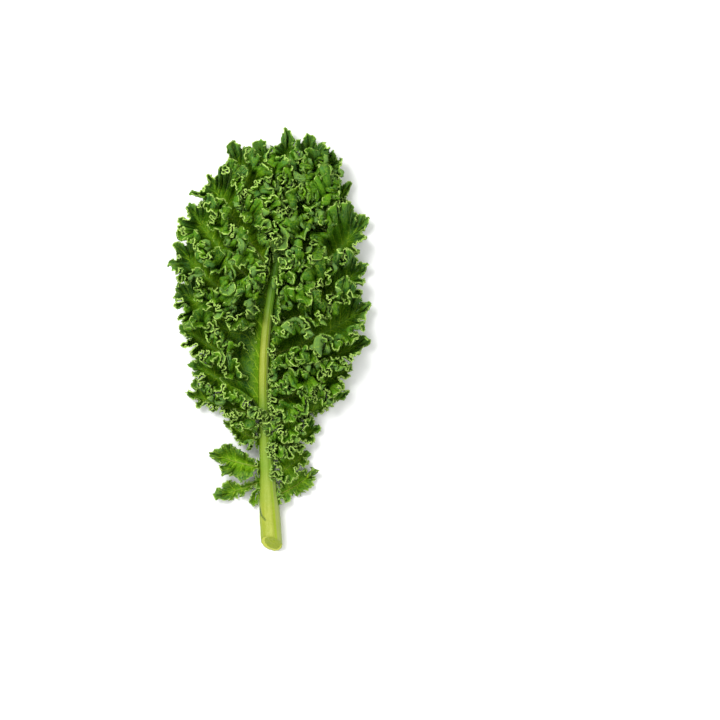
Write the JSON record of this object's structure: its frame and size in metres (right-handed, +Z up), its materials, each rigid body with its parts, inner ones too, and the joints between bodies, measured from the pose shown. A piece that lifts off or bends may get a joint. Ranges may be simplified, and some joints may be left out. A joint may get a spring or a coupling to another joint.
{
  "type": "curly kale leaf",
  "caption": "Single curly kale leaf, picked and lying flat: a thick pale cut stalk that runs on as the midrib, with tightly frilled green lobes along both sides and one at the tip.",
  "frame": {"origin": "on the surface that the leaf lies on, under the middle of its box", "axes": "+Y from the cut end of the stalk to the leaf's tip, +Z up out of the leaf's upper side, +X to the right as seen from above"},
  "size_m": [0.1444, 0.2996, 0.0335],
  "materials": {
    "stalk": "fresh pale green stalk, ribbed, softly satin",
    "blade": "dark green leaf blade with a waxy bloom and pale frilled edges",
    "tender_blade": "brighter green young leaf blade with pale veins"
  },
  "bodies": {
    "root": {"stalk": "stalk", "left_leaflet": "tender_blade", "left_lobe_01": "tender_blade", "left_lobe_02": "blade", "left_lobe_03": "blade", "left_lobe_04": "blade", "left_lobe_05": "blade", "left_lobe_06": "blade", "left_lobe_07": "blade", "left_lobe_08": "blade", "left_lobe_09": "blade", "left_lobe_10": "blade", "left_lobe_11": "blade", "left_lobe_12": "blade", "right_lobe_01": "tender_blade", "right_lobe_02": "blade", "right_lobe_03": "blade", "right_lobe_04": "blade", "right_lobe_05": "blade", "right_lobe_06": "blade", "right_lobe_07": "blade", "right_lobe_08": "blade", "right_lobe_09": "blade", "right_lobe_10": "blade", "right_lobe_11": "blade", "right_lobe_12": "blade", "tip_lobe": "blade"}
  },
  "joints": []
}
